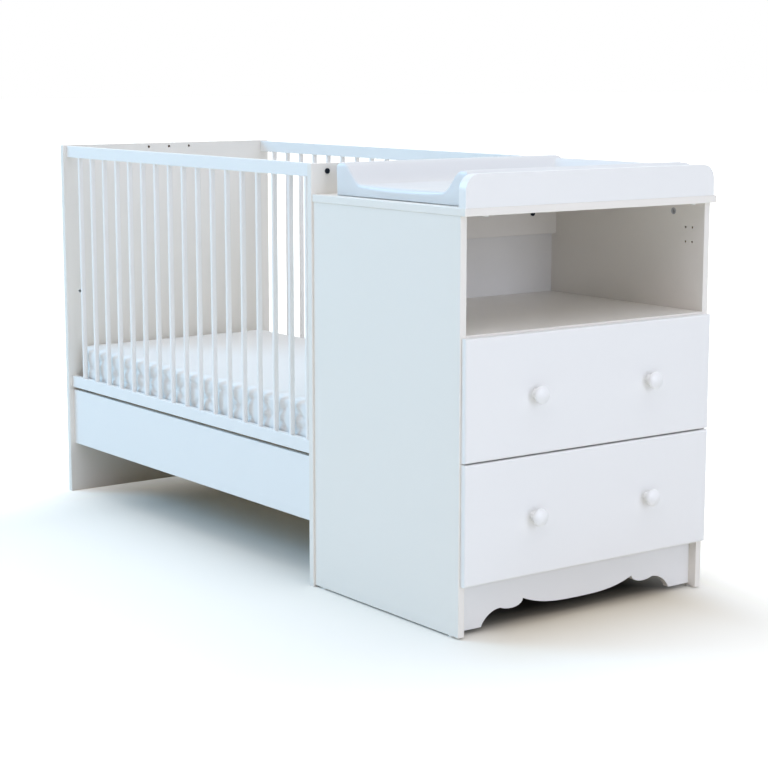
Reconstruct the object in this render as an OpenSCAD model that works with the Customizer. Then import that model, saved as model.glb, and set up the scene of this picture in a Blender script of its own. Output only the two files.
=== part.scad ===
// Crib with an attached changing cabinet, standing on the floor.
// X runs along the crib from the end panel to the drawer fronts, Y from the
// near side to the far side, Z up. The origin is under the middle, on the floor.

/* [Mattress] */
// Length of the mattress
mattress_l = 1200; // [1000:10:1400]
// Width of the mattress
mattress_w = 600; // [500:10:640]
// Height of the mattress
mattress_h = 100; // [60:5:120]
// Free space between the mattress and each end
mattress_end_gap = 5; // [2:1:15]
// Free space between the mattress and each side rail
mattress_side_gap = 1; // [1:1:10]
// Height of the mattress's underside over the floor
mattress_z = 306; // [280:2:330]

/* [Crib panels] */
// Thickness of the end and middle panels
panel_t = 16; // [14:1:22]
// Height of the end and middle panels
panel_h = 950; // [920:5:1050]
// Rounding of the board edges
edge_r = 1; // [0.5:0.5:2.5]
// Distance from a side rail's face back from the end panel's edge
rail_inset = 10; // [4:1:25]
// How far the middle panel stands out past each cabinet side
middle_reveal = 4; // [1:1:12]
// Drop from the panels' top edge to the changing top
changer_drop = 67; // [40:1:80]

/* [Crib sides] */
// Thickness of the side rails
rail_t = 16; // [16:1:24]
// Height of the top rail
top_rail_h = 30; // [26:1:50]
// Drop from the panels' top edge to the top rail
top_rail_drop = 2; // [0:1:20]
// Height of the bottom rail
bottom_rail_h = 30; // [26:1:50]
// Height of the bottom rail's underside over the floor
bottom_rail_z = 292; // [290:2:310]
// Height of the board under the bottom rail
lower_board_h = 149; // [120:1:170]
// Thickness of the board under the bottom rail
lower_board_t = 16; // [14:1:18]
// Gap between that board and the bottom rail
lower_board_gap = 8; // [4:1:20]
// Step from the rail's outer face back to that board
lower_board_inset = 3; // [0:1:6]
// Number of slats in one side
slat_count = 17; // [15:1:19]
// Width of a slat along the rail
slat_w = 10; // [8:1:14]
// Depth of a slat across the rail
slat_d = 12; // [8:1:12]
// Rounding of a slat's corners
slat_r = 3; // [1:0.5:3.5]
// Depth of the mortises that hold the slats
mortise_h = 10; // [6:1:12]

/* [Mattress base] */
// Height of the base's bars
base_bar_h = 40; // [30:2:50]
// Thickness of the bars across the ends
base_end_t = 18; // [16:1:24]
// Thickness of the bars along the sides
base_side_t = 20; // [16:1:24]
// Free space beside the base
base_gap = 2; // [1:1:6]
// Number of slats in the base
base_slat_count = 12; // [8:1:14]
// Width of a base slat
base_slat_w = 60; // [40:5:70]
// Thickness of a base slat
base_slat_t = 8; // [6:1:12]
// Height of the inserts for the raised position of the base
upper_base_z = 554; // [500:2:600]
// Distance from a base bolt to the end of its bar
base_bolt_inset = 9; // [9:1:30]

/* [Cabinet] */
// Free space between the side bolts' heads and the cabinet's sides
bolt_side_gap = 16; // [4:1:30]
// Depth of the cabinet's sides
cabinet_d = 520; // [500:5:600]
// Thickness of the cabinet's boards
board_t = 16; // [16:1:19]
// How far the changing top stands out over the cabinet's front
top_overhang = 17; // [12:1:20]
// How far the changing top stands out past each side
top_side_overhang = 2; // [0:1:4]
// How far the niche floor stands over the upper drawer front
niche_lift = 4.5; // [4:0.5:16]
// Height of the rear rails
rear_rail_h = 100; // [70:5:110]
// Thickness of the back board
back_t = 3; // [3:1:5]
// Distance from the sides' rear edges to the back board
back_inset = 13; // [10:1:20]
// Depth of the groove that holds the back board
back_groove = 5; // [3:1:6]
// Height of the glides under the cabinet
glide_h = 4; // [2:1:5]
// Diameter of the glides' pins
glide_pin_d = 3; // [2:0.5:4]
// Length of the glides' pins
glide_pin_h = 10; // [6:1:14]
// Distance of the glides from the sides' ends
glide_inset = 30; // [20:1:80]
// Height of the bottom board's upper face
bottom_z = 114; // [110:1:116]

/* [Guard board] */
// Thickness of the guard board
guard_t = 22; // [18:1:25]
// Radius of the guard board's upper corners
guard_r = 32; // [10:1:50]
// Distance from the changing top's near end to the guard board
guard_inset = 1; // [0:1:6]
// Distance from the guard board to the changing top's far end
guard_far_inset = 9; // [0:1:30]
// Distance of the guard's screws from the cabinet's outer faces
guard_screw_inset = 59; // [40:1:150]

/* [Apron] */
// Height of the apron's feet over the floor
apron_z = 10; // [5:1:20]
// Step from the sides' front edges back to the apron
apron_inset = 22; // [10:1:40]
// Length of each flat foot of the apron
apron_foot = 62; // [40:2:80]
// Height of the inner cusps over the feet
apron_cusp_h = 44; // [35:1:55]
// Distance of the inner cusps from the middle
apron_cusp_y = 156; // [140:2:180]
// Height of the cove that rises from each foot
apron_cove_h = 33; // [20:1:40]
// Fullness of the small lobe between each cusp and its cove
apron_lobe = 12; // [0:1:14]
// Height of the belly's lowest point over the feet
apron_belly_h = 22; // [5:1:30]

/* [Drawers] */
// Distance from a drawer front's edge to the cabinet side's outer face
front_reveal = 4; // [2:1:10]
// Height of a drawer front
front_h = 254; // [240:1:255]
// Thickness of a drawer front
front_t = 15; // [15:1:20]
// Rounding of the edges round a drawer front's face
front_r = 5; // [1:0.5:8]
// Gap between the two fronts
front_gap = 3; // [2:1:6]
// Height of the lower front's edge over the floor
front_z = 112; // [110:1:114]
// Free space between a closed front and the cabinet
front_play = 0.5; // [0.3:0.1:2]
// Depth of a drawer box
box_d = 450; // [400:10:460]
// Height of a drawer box
box_h = 190; // [120:5:200]
// Thickness of the drawer box boards
box_t = 12; // [12:1:13]
// Height of the box's edge over the front's edge
box_lift = 18; // [16:1:20]
// Thickness of the drawer bottom
bottom_t = 3; // [3:1:4]
// Height of the bottom over the box's lower edge
bottom_lift = 10; // [8:1:16]
// Depth of the grooves that hold the drawer bottom
bottom_groove = 5; // [3:1:5]

/* [Knobs] */
// Diameter of a knob
knob_d = 38; // [32:1:45]
// Length of a knob in front of the drawer
knob_l = 31; // [27:1:34]
// Diameter of a knob's foot
knob_foot_d = 22; // [18:1:26]
// Height of the knob's domed cap
cap_h = 16; // [13:1:17]
// Rounding of the cap's rim
knob_rim_r = 6; // [3:0.5:6]
// Distance between the two knobs of a drawer
knob_span = 320; // [200:8:480]

/* [Runners] */
// Space between a drawer box and the cabinet's side
runner_space = 13; // [13:0.5:14]
// Sheet thickness of the runners
runner_sheet = 1.2; // [1:0.1:1.4]
// Diameter of the runner's rollers
roller_d = 20; // [18:1:21]
// Width of a roller
roller_w = 6; // [5:0.5:6.5]
// Diameter of a roller's axle
axle_d = 5; // [4:0.5:6]
// Clearance between a roller and the sheet that it runs on
roll_play = 0.3; // [0.2:0.1:0.4]
// Running clearance between a roller and its axle
axle_play = 0.25; // [0.1:0.05:0.3]
// Free space between a roller's side and its collar or head
axle_end_play = 0.3; // [0.1:0.1:0.4]
// Thickness of an axle's head
axle_head = 1; // [0.6:0.1:1.2]
// Free space between an axle's head and the cabinet's sheet
axle_gap = 0.6; // [0.4:0.1:1]

/* [Changing mat] */
// Free space between the mat and the guard board
mat_guard_gap = 2; // [2:1:60]
// Free space between the mat and the changing top's near end
mat_near_gap = 24; // [10:1:60]
// Free space between the mat and the changing top's far end
mat_far_gap = 46; // [10:1:80]
// Height of the mat's side bolsters
mat_side_h = 73; // [60:1:85]
// Height of the mat's head bolster
mat_head_h = 67; // [50:1:80]
// Thickness of the mat between the bolsters
mat_dip_h = 26; // [15:1:40]
// Distance from a bolster's outer side to its crest
mat_crest = 24; // [14:1:40]
// Length of the slope from a bolster's crest down to the dip
mat_slope = 60; // [30:2:100]
// Rounding of the mat's upper edges along the bolsters
mat_edge = 12; // [6:1:14]
// Rounding of the mat's upper edge at its open end
mat_end_edge = 5; // [3:1:10]
// Gap between the middle panel and the mat
mat_gap = 55; // [20:1:60]

/* [Fasteners] */
// Diameter of the frame bolts
bolt_d = 6; // [5:0.5:8]
// Diameter of the bolt heads
bolt_head_d = 12; // [10:1:18]
// Thickness of the bolt heads
bolt_head_h = 2.5; // [2:0.5:4]
// Diameter of the barrel nuts
barrel_d = 10; // [9:0.5:12]
// Distance from a rail's end to its barrel nut
barrel_x = 30; // [24:1:36]
// Size of the hexagon socket in the bolt heads
bolt_socket = 4; // [3:0.2:6]
// Distance of the joining bolts from the cabinet's sides
joining_inset = 75; // [40:1:150]
// Length of the insert nuts
insert_h = 12; // [8:1:13]
// Diameter of the cam locks
cam_d = 15; // [12:1:18]
// Distance from a board's end to its cam lock
cam_set = 24; // [20:1:30]
// Distance of the upper cam locks from the cabinet's front and rear edges
cam_edge = 96; // [60:1:120]
// Distance of the lower boards' cam locks from the boards' edges
cam_inset = 80; // [50:1:120]
// Thickness left under a cam lock
cam_floor = 3; // [2:0.5:4]
// Diameter of the cam bolts
cam_bolt_d = 6; // [5:0.5:7]
// Depth of the cam bolts' threads in the next board
cam_thread_h = 11; // [8:1:13]
// Diameter of the knob screws
screw_d = 4; // [3:0.5:5]
// Diameter of the screw heads
screw_head_d = 8.5; // [7:0.5:10]
// Thickness of the screw heads
screw_head_h = 2.6; // [2:0.2:4]
// Diameter of the guard board's screws
guard_screw_d = 5; // [4:0.5:6]
// Reach of the guard board's screws into it
guard_screw_h = 35; // [20:1:50]
// Thickness of the heads of the guard board's screws
guard_head_h = 1.8; // [1:0.2:3]
// Diameter of the caps over the guard board's screws
cap_d = 11; // [11:0.5:16]
// Thickness of those caps
cap_wall = 0.8; // [0.6:0.2:2]
// Clearance of a bolt in its hole
hole_play = 0.5; // [0.3:0.1:1]
// Clearance of a piece that sits in its pocket
seat_play = 0.1; // [0.05:0.05:0.3]
// Clearance under the loose mattress and mat
rest_play = 0.2; // [0.2:0.1:0.5]

/* [System holes] */
// Diameter of the small system holes
hole_d = 5; // [3:0.5:6]
// Depth of the small system holes
hole_h = 10; // [6:1:11]
// Diameter of the holes of the row in the end panel
row_hole_d = 7; // [4:0.5:8]
// Distance between two holes of the row in the end panel
row_pitch = 64; // [32:32:96]
// Distance from the end panel's top to its row of holes
row_drop = 10; // [8:1:20]
// Distance from the cabinet's front edge to the first fitting hole
fitting_x = 37; // [30:1:45]
// Distance between the fitting holes along the depth
fitting_dx = 20; // [16:1:32]
// Distance between the fitting holes along the height
fitting_dz = 32; // [16:16:64]
// Distance from the changing top's underside to the upper fitting holes
fitting_drop = 57; // [50:1:70]

/* [Hidden] */
$fn = 48;

white = [0.93, 0.94, 0.95];
cloth_white = [0.96, 0.96, 0.96];
zinc = [0.72, 0.73, 0.75];
dark_steel = [0.16, 0.15, 0.15];
runner_white = [0.88, 0.88, 0.87];
raw_wood = [0.86, 0.76, 0.60];

// Lengths along X
inner_l = mattress_l + 2 * mattress_end_gap;
total_l = bolt_head_h + 2 * panel_t + inner_l + cabinet_d + front_play + front_t + knob_l;
x_end = -total_l / 2 + bolt_head_h;
x_in0 = x_end + panel_t;
x_in1 = x_in0 + inner_l;
x_cab = x_in1 + panel_t;
x_front = x_cab + cabinet_d;
x_drawer = x_front + front_play;
x_face = x_drawer + front_t;
x_back = x_cab + back_inset;
x_inside = x_back + back_t;

// Widths along Y, from the middle plane
inner_w = mattress_w + 2 * mattress_side_gap;
rail_y = inner_w / 2 + rail_t / 2;
end_w = inner_w + 2 * (rail_t + rail_inset);
niche_w = 2 * rail_y + bolt_head_d + 2 * bolt_side_gap;
cabinet_w = niche_w + 2 * board_t;
side_y = (niche_w + board_t) / 2;
middle_w = cabinet_w + 2 * middle_reveal;
lower_board_y = inner_w / 2 + rail_t - lower_board_inset - lower_board_t / 2;
base_w = 2 * (lower_board_y - lower_board_t / 2 - base_gap);
base_bolt_span = base_w - 2 * base_bolt_inset;
top_w = cabinet_w + 2 * top_side_overhang;
front_w = cabinet_w - 2 * front_reveal;
guard_w = top_w - guard_inset - guard_far_inset;
guard_screw_y = cabinet_w / 2 - guard_screw_inset;
mat_l = top_w - mat_near_gap - mat_far_gap;
mat_y = -top_w / 2 + mat_near_gap;
mat_w = cabinet_d + top_overhang - guard_t - mat_gap - mat_guard_gap;

// Heights along Z
top_rail_z = panel_h - top_rail_drop - top_rail_h;
lower_board_z = bottom_rail_z - lower_board_gap - lower_board_h;
base_z = mattress_z - base_slat_t - base_bar_h;
base_bolt_z = base_z + base_bar_h / 2;
changer_z = panel_h - changer_drop;
niche_z = front_z + 2 * front_h + front_gap + niche_lift;
side_top = changer_z - board_t;
niche_h = side_top - niche_z;
rear_rail_z = side_top - rear_rail_h;

// Slats, evenly spread between the panels
slat_gap = (inner_l - slat_count * slat_w) / (slat_count + 1);
slat_pitch = slat_gap + slat_w;
slat_low = bottom_rail_z + bottom_rail_h - mortise_h + seat_play;
slat_high = top_rail_z + mortise_h - seat_play;
function slat_x(i) = x_in0 + slat_gap + slat_w / 2 + i * slat_pitch;

// Frame bolts: heights in a side, and bolt sizes
lower_bolt_z = [lower_board_z + lower_board_h / 4, lower_board_z + 3 * lower_board_h / 4];
rail_bolt_z = [top_rail_z + top_rail_h / 2, bottom_rail_z + bottom_rail_h / 2];
bolt_reach = barrel_x + barrel_d / 2 + 4;
bolt_hole_d = bolt_d + 2 * hole_play;
barrel_l = rail_t - 2;
insert_d = bolt_d + 3;
thread_d = bolt_d + 0.1;

// Joining bolts between the cabinet and the middle panel
joining_y = niche_w / 2 - joining_inset;
joining_z = [rear_rail_z + rear_rail_h / 2, apron_z + (bottom_z - board_t - apron_z) / 2];

// Cam fittings
cam_thread_d = cam_bolt_d - 1;
cam_hole_d = cam_bolt_d + 2;

// Drawers and runners
front_pitch = front_h + front_gap;
drawer_z = [front_z, front_z + front_pitch];
box_w = niche_w - 2 * runner_space;
box_x = x_drawer - box_d;
knob_z = front_h / 2;
runner_l = box_d;
runner_x = x_front - runner_l;
channel_h = roller_d + 6;
channel_lip = 10;
roller_y = niche_w / 2 - runner_sheet - axle_gap - axle_head - axle_end_play - roller_w / 2;
roller_z = runner_sheet + roller_d / 2 + roll_play;
roller_end = 14;
flange_z = roller_z + roller_d / 2 + roll_play;
box_over_channel = -2;

// ---- shared shapes -------------------------------------------------------

// Rectangle with round corners, lower left corner at the origin
module soft_rect(size, r) {
    translate([r, 0]) square([size.x - 2 * r, size.y]);
    translate([0, r]) square([size.x, size.y - 2 * r]);
    for (x = [r, size.x - r], y = [r, size.y - r])
        translate([x, y]) circle(r);
}

// Board with every edge rounded
module board(size, r = edge_r) {
    intersection() {
        linear_extrude(size.z) soft_rect([size.x, size.y], r);
        translate([0, size.y, 0]) rotate([90, 0, 0])
            linear_extrude(size.y) soft_rect([size.x, size.z], r);
        rotate([90, 0, 90])
            linear_extrude(size.x) soft_rect([size.y, size.z], r);
    }
}

// Round bar or hole along X
module rod_x(d, l) rotate([0, 90, 0]) cylinder(d = d, h = l);

// Round bar or hole along Y, centred
module rod_y(d, l) rotate([90, 0, 0]) cylinder(d = d, h = l, center = true);

// ---- frame bolts ---------------------------------------------------------

// Every place of a bolt through a panel into a rail; s points into the crib
module each_side_bolt() {
    for (s = [1, -1], y = [-1, 1]) {
        for (z = rail_bolt_z) translate([s > 0 ? x_in0 : x_in1, y * rail_y, z])
            scale_x(s) children();
        for (z = lower_bolt_z) translate([s > 0 ? x_in0 : x_in1, y * lower_board_y, z])
            scale_x(s) children();
    }
}

// Mirror along X where s is negative
module scale_x(s) mirror([s < 0 ? 1 : 0, 0, 0]) children();

// Bolt with a flat head; its axis is X and the panel's inner face is at 0
module frame_bolt(head_at, reach) {
    translate([-head_at - bolt_head_h, 0, 0]) difference() {
        union() {
            rod_x(bolt_head_d, bolt_head_h);
            rod_x(bolt_d, bolt_head_h + head_at + reach);
        }
        translate([-1, 0, 0]) rotate([0, 90, 0]) cylinder(d = bolt_socket, h = 1 + bolt_head_h - 0.5, $fn = 6);
    }
}

module side_bolts() color(dark_steel) each_side_bolt() frame_bolt(panel_t, bolt_reach);

module barrel_nuts() color(zinc) each_barrel() difference() {
    rod_y(barrel_d, barrel_l);
    rod_x_centred(thread_d, barrel_d + 2);
}

module rod_x_centred(d, l) translate([-l / 2, 0, 0]) rod_x(d, l);

// Every barrel nut, with its axis crossing its bolt's
module each_barrel() {
    for (s = [1, -1], y = [-1, 1]) translate([(s > 0 ? x_in0 : x_in1) + s * barrel_x, 0, 0]) {
        for (z = rail_bolt_z) translate([0, y * rail_y, z]) children();
        for (z = lower_bolt_z) translate([0, y * lower_board_y, z]) children();
    }
}

// Holes for the bolts and barrel nuts in the rails
module rail_holes() {
    each_side_bolt() translate([-1, 0, 0]) rod_x(bolt_hole_d, bolt_reach + 2);
    each_barrel() barrel_pocket();
}

// Blind pocket of a barrel nut. Both crib sides are the same piece, so it opens towards
// the far side on each of them.
module barrel_pocket() translate([0, 1, 0])
    rod_y(barrel_d + 2 * seat_play, barrel_l + 2 + 2 * seat_play);

// Inserts in the panels: lower and raised base positions, and the joining bolts
module each_insert() {
    for (y = [-1, 1]) {
        for (z = [base_bolt_z, upper_base_z]) {
            translate([x_in0, y * base_bolt_span / 2, z]) scale_x(-1) children();
            translate([x_in1, y * base_bolt_span / 2, z]) children();
        }
        for (z = joining_z) translate([x_cab, y * joining_y, z]) scale_x(-1) children();
    }
}

module insert_nuts() color(zinc) each_insert() difference() {
    rod_x(insert_d, insert_h);
    translate([-1, 0, 0]) rod_x(thread_d, insert_h + 2);
}

module insert_pockets() each_insert() translate([-1, 0, 0]) rod_x(insert_d + 2 * seat_play, insert_h + 1);

// ---- crib panels ---------------------------------------------------------

module end_panel() color(white) difference() {
    translate([x_end, -end_w / 2, 0]) board([panel_t, end_w, panel_h]);
    panel_bolt_holes();
    insert_pockets();
    for (i = [-1, 0, 1])
        translate([x_in0 - hole_h, i * row_pitch, panel_h - row_drop]) rod_x(row_hole_d, hole_h + 1);
}

module middle_panel() color(white) difference() {
    translate([x_in1, -middle_w / 2, 0]) board([panel_t, middle_w, panel_h]);
    panel_bolt_holes();
    insert_pockets();
}

module panel_bolt_holes() each_side_bolt()
    translate([-panel_t - 1, 0, 0]) rod_x(bolt_hole_d, panel_t + 2);

// ---- crib sides; s is -1 for the front and 1 for the back ----------------

module side_rail(s, z, h, mortise_z) difference() {
    translate([x_in0, s * rail_y - rail_t / 2, z]) board([inner_l, rail_t, h]);
    rail_holes();
    for (i = [0 : slat_count - 1])
        translate([slat_x(i), s * rail_y, mortise_z]) slat_bar(mortise_h + 1, seat_play);
}

// Upright bar of the slat's section, widened by play
module slat_bar(h, play = 0) {
    w = slat_w + 2 * play;
    d = slat_d + 2 * play;
    linear_extrude(h) translate([-w / 2, -d / 2]) soft_rect([w, d], slat_r + play);
}

module top_rail(s) side_rail(s, top_rail_z, top_rail_h, top_rail_z - 1);

module bottom_rail(s)
    side_rail(s, bottom_rail_z, bottom_rail_h, bottom_rail_z + bottom_rail_h - mortise_h);

module lower_board(s) difference() {
    translate([x_in0, s * lower_board_y - lower_board_t / 2, lower_board_z])
        board([inner_l, lower_board_t, lower_board_h]);
    rail_holes();
}

module slats(s) for (i = [0 : slat_count - 1])
    translate([slat_x(i), s * rail_y, slat_low]) slat_bar(slat_high - slat_low);

module front_top_rail() color(white) top_rail(-1);
module front_bottom_rail() color(white) bottom_rail(-1);
module front_lower_board() color(white) lower_board(-1);
module front_slats() color(white) slats(-1);
module back_top_rail() color(white) top_rail(1);
module back_bottom_rail() color(white) bottom_rail(1);
module back_lower_board() color(white) lower_board(1);
module back_slats() color(white) slats(1);

// ---- mattress base -------------------------------------------------------

module base_end_bars() color(raw_wood) for (s = [1, -1])
    translate([s > 0 ? x_in0 : x_in1, 0, 0]) scale_x(s) difference() {
        translate([0, -base_w / 2, base_z]) board([base_end_t, base_w, base_bar_h]);
        for (y = [-1, 1]) translate([-1, y * base_bolt_span / 2, base_bolt_z])
            rod_x(bolt_hole_d, base_end_t + 2);
    }

// Side bars stand inside the base bolts, so their heads stay free
base_side_y = base_bolt_span / 2 - bolt_head_d / 2 - 3 - base_side_t / 2;

module base_side_bars() color(raw_wood) for (y = [-1, 1])
    translate([x_in0 + base_end_t, y * base_side_y - base_side_t / 2, base_z])
        board([inner_l - 2 * base_end_t, base_side_t, base_bar_h]);

module base_slats() color(raw_wood) {
    pitch = (inner_l - base_slat_w) / (base_slat_count - 1);
    for (i = [0 : base_slat_count - 1])
        translate([x_in0 + i * pitch, -base_w / 2, base_z + base_bar_h])
            board([base_slat_w, base_w, base_slat_t]);
}

module base_bolts() color(dark_steel) for (s = [1, -1], y = [-1, 1])
    translate([s > 0 ? x_in0 : x_in1, y * base_bolt_span / 2, base_bolt_z])
        scale_x(-s) frame_bolt(base_end_t, insert_h - 1);

// ---- cam fittings --------------------------------------------------------
// Each place turns +X into the board that holds the cam lock, and +Z to its open face.

function cam_h(t) = t - cam_floor;

module cam_lock(t) {
    h = cam_h(t) - seat_play;
    translate([cam_set, 0, t / 2 - h]) difference() {
        cylinder(d = cam_d, h = h);
        translate([-cam_d, 0, h - t / 2]) rod_x(cam_bolt_d + 1.4, cam_d + 3);
        for (a = [0, 90]) rotate(a + 20)
            translate([-0.3 * cam_d, -0.05 * cam_d, h - 2]) cube([0.6 * cam_d, 0.1 * cam_d, 3]);
    }
}

module cam_bolt() {
    translate([-cam_thread_h + 0.5, 0, 0]) rod_x(cam_thread_d, cam_thread_h);
    rod_x(cam_bolt_d, cam_set - 1);
}

module cam_pocket(t) {
    translate([cam_set, 0, t / 2 - cam_h(t)]) cylinder(d = cam_d + 2 * seat_play, h = t);
    translate([-1, 0, 0]) rod_x(cam_hole_d, cam_set + 1);
}

module cam_pilot() translate([-cam_thread_h, 0, 0]) rod_x(cam_thread_d + 0.04, cam_thread_h + 1);

// In the sides, under the changing top
module each_top_cam() for (x = [x_cab + cam_edge, x_front - cam_edge], s = [-1, 1])
    translate([x, s * side_y, side_top]) rotate([0, 90, -90 * s]) children();

// Under a level board between the sides
module each_level_cam(z) for (x = [x_inside + cam_inset, x_front - cam_inset], s = [-1, 1])
    translate([x, s * niche_w / 2, z]) rotate([180, 0, -90 * s]) children();

// In the rear face of an upright board between the sides, hidden from the front
module upright_cams(x, z) for (s = [-1, 1])
    translate([x, s * niche_w / 2, z]) rotate([90 * s, 0, -90 * s]) children();

shelf_mid = niche_z - board_t / 2;
bottom_mid = bottom_z - board_t / 2;
apron_x = x_front - apron_inset - board_t;
rear_rail_mid = x_inside + board_t / 2;
apron_mid = apron_x + board_t / 2;
low_cam_z = bottom_z - board_t - 1.3 * cam_d;

// Every cam fitting of the cabinet
module each_cabinet_cam() {
    each_top_cam() children();
    each_level_cam(shelf_mid) children();
    each_bottom_cam() children();
    upright_cams(rear_rail_mid, rear_rail_z + rear_rail_h / 4) children();
    upright_cams(rear_rail_mid, low_cam_z) children();
    upright_cams(apron_mid, low_cam_z) children();
}

module each_bottom_cam() for (x = [x_inside + cam_inset, apron_x - cam_inset], s = [-1, 1])
    translate([x, s * niche_w / 2, bottom_mid]) rotate([180, 0, -90 * s]) children();

module cam_locks() color(zinc) each_cabinet_cam() cam_lock(board_t);

module cam_bolts() color(zinc) each_cabinet_cam() cam_bolt();

// ---- cabinet -------------------------------------------------------------

module cabinet_side(s) difference() {
    translate([x_cab, s * side_y - board_t / 2, glide_h])
        board([cabinet_d, board_t, side_top - glide_h]);
    each_top_cam() cam_pocket(board_t);
    each_cabinet_cam() cam_pilot();
    translate([x_back - 0.2, s * niche_w / 2 - back_groove - 0.2, 0])
        cube([back_t + 0.4, 2 * (back_groove + 0.2), side_top + 1]);
    for (x = [0, fitting_dx], z = [0, fitting_dz])
        translate([x_front - fitting_x - x, s * (niche_w / 2 + hole_h / 2), side_top - fitting_drop - z])
            rod_y(hole_d, hole_h + 0.02);
    each_glide() cylinder(d = glide_pin_d + 0.04, h = glide_h + glide_pin_h + 1);
    for (z = drawer_z) for (x = runner_screw_x)
        translate([x, s * (niche_w / 2 + 5), runner_z0(z) + channel_h / 2]) rod_y(3, 10.02);
}

module cabinet_left_side() color(white) cabinet_side(-1);
module cabinet_right_side() color(white) cabinet_side(1);

module changer_top() color(white) difference() {
    translate([x_cab, -top_w / 2, side_top]) board([cabinet_d + top_overhang, top_w, board_t]);
    each_top_cam() cam_pilot();
    each_guard_screw() translate([0, 0, -1]) cylinder(d = guard_screw_d + 0.4, h = board_t + 2);
}

// Guard board with two round upper corners, standing on the changing top's front edge
guard_x = x_front + top_overhang - guard_t;
guard_y = -top_w / 2 + guard_inset;
guard_h = panel_h - changer_z;

module guard_outline() {
    square([guard_w, guard_h - guard_r]);
    translate([guard_r, 0]) square([guard_w - 2 * guard_r, guard_h]);
    for (y = [guard_r, guard_w - guard_r]) translate([y, guard_h - guard_r]) circle(guard_r);
}

module guard_board() color(white) difference() {
    translate([guard_x, guard_y, changer_z]) rotate([90, 0, 90]) linear_extrude(guard_t) guard_outline();
    each_guard_screw() translate([0, 0, board_t - 1]) cylinder(d = guard_screw_d + 0.04, h = guard_screw_h + 2);
}

module each_guard_screw() for (y = [-1, 1])
    translate([guard_x + guard_t / 2, y * guard_screw_y, side_top]) children();

module guard_screws() color(zinc) each_guard_screw() {
    cylinder(d = guard_screw_d, h = board_t + guard_screw_h);
    translate([0, 0, -guard_head_h]) cylinder(d1 = screw_head_d - 2, d2 = screw_head_d, h = guard_head_h);
}

// Plastic caps pressed over the screw heads, under the changing top
module guard_screw_caps() color(white) each_guard_screw()
    translate([0, 0, -guard_head_h - cap_wall]) difference() {
        cylinder(d = cap_d, h = guard_head_h + cap_wall);
        translate([0, 0, cap_wall - 0.1]) cylinder(d = screw_head_d + 0.4, h = guard_head_h + 1);
    }

module rear_top_rail() color(white) rear_rail(rear_rail_z, rear_rail_h);

module rear_bottom_rail() color(white) rear_rail(apron_z, bottom_z - board_t - apron_z);

module rear_rail(z, h) difference() {
    translate([x_inside, -niche_w / 2, z]) board([board_t, niche_w, h]);
    upright_cams(rear_rail_mid, rear_rail_z + rear_rail_h / 4) cam_pocket(board_t);
    upright_cams(rear_rail_mid, low_cam_z) cam_pocket(board_t);
    joining_holes();
}

module joining_holes() for (y = [-1, 1], z = joining_z)
    translate([x_cab, y * joining_y, z]) rod_x(bolt_hole_d, back_inset + back_t + board_t + 1);

module joining_bolts() color(dark_steel) for (y = [-1, 1], z = joining_z)
    translate([x_cab, y * joining_y, z]) scale_x(-1)
        frame_bolt(back_inset + back_t + board_t, insert_h - 1);

module niche_shelf() color(white) difference() {
    translate([x_inside, -niche_w / 2, niche_z - board_t])
        board([x_front - x_inside, niche_w, board_t]);
    each_level_cam(shelf_mid) cam_pocket(board_t);
}

module back_board() color(white) difference() {
    translate([x_back, -niche_w / 2 - back_groove, apron_z])
        cube([back_t, niche_w + 2 * back_groove, side_top - apron_z]);
    joining_holes();
}

module bottom_board() color(white) difference() {
    translate([x_inside, -niche_w / 2, bottom_z - board_t])
        board([apron_x - x_inside, niche_w, board_t]);
    each_bottom_cam() cam_pocket(board_t);
}

// Apron: a belly between two cusps, then a small lobe and a cove down to each foot.
// One half of the lower edge, from the middle to the foot, heights over the feet.
apron_foot_y = niche_w / 2 - apron_foot;
function belly(t) = [apron_cusp_y * t, apron_belly_h + (apron_cusp_h - apron_belly_h) * t * t * t];
lobe_y = apron_cusp_y + (apron_foot_y - apron_cusp_y) * 0.55;
function lobe(t) = [
    apron_cusp_y + (lobe_y - apron_cusp_y) * (1 - cos(90 * t)),
    apron_cusp_h - (apron_cusp_h - apron_cove_h + apron_lobe) * sin(90 * t) + apron_lobe * t * t * t
];
function cove(t) = [
    lobe_y + (apron_foot_y - lobe_y) * sin(90 * t),
    apron_cove_h * pow(cos(90 * t), 1.5)
];
apron_half = [
    for (i = [0 : 9]) belly(i / 10),
    for (i = [0 : 7]) lobe(i / 8),
    for (i = [0 : 10]) cove(i / 10)
];
apron_top = bottom_z - apron_z;
apron_edge = concat(
    [for (i = [len(apron_half) - 1 : -1 : 1]) [-apron_half[i].x, apron_half[i].y]],
    apron_half,
    [[niche_w / 2, 0], [niche_w / 2, apron_top], [-niche_w / 2, apron_top], [-niche_w / 2, 0]]
);

module apron() color(white) difference() {
    translate([apron_x, 0, apron_z]) rotate([90, 0, 90]) linear_extrude(board_t) polygon(apron_edge);
    upright_cams(apron_mid, low_cam_z) cam_pocket(board_t);
}

module each_glide() for (x = [x_cab + glide_inset, x_front - glide_inset], s = [-1, 1])
    translate([x, s * side_y, 0]) children();

module glides() color(runner_white) each_glide() {
    cylinder(d = board_t - 2, h = glide_h);
    cylinder(d = glide_pin_d, h = glide_h + glide_pin_h);
}

// ---- runners -------------------------------------------------------------
// Sheet channels on the cabinet, each with a roller at its front, and flanged
// profiles under the drawer boxes, each with a roller at its rear.

function runner_z0(z) = z + box_lift - box_over_channel;
runner_screw_x = [runner_x + runner_l / 8, runner_x + runner_l * 0.8];

// Both runners of the drawer at height z, drawn for the far side and mirrored
module both_runners(z) for (s = [-1, 1]) mirror([0, s < 0 ? 1 : 0, 0])
    translate([0, 0, runner_z0(z)]) children();

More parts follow.
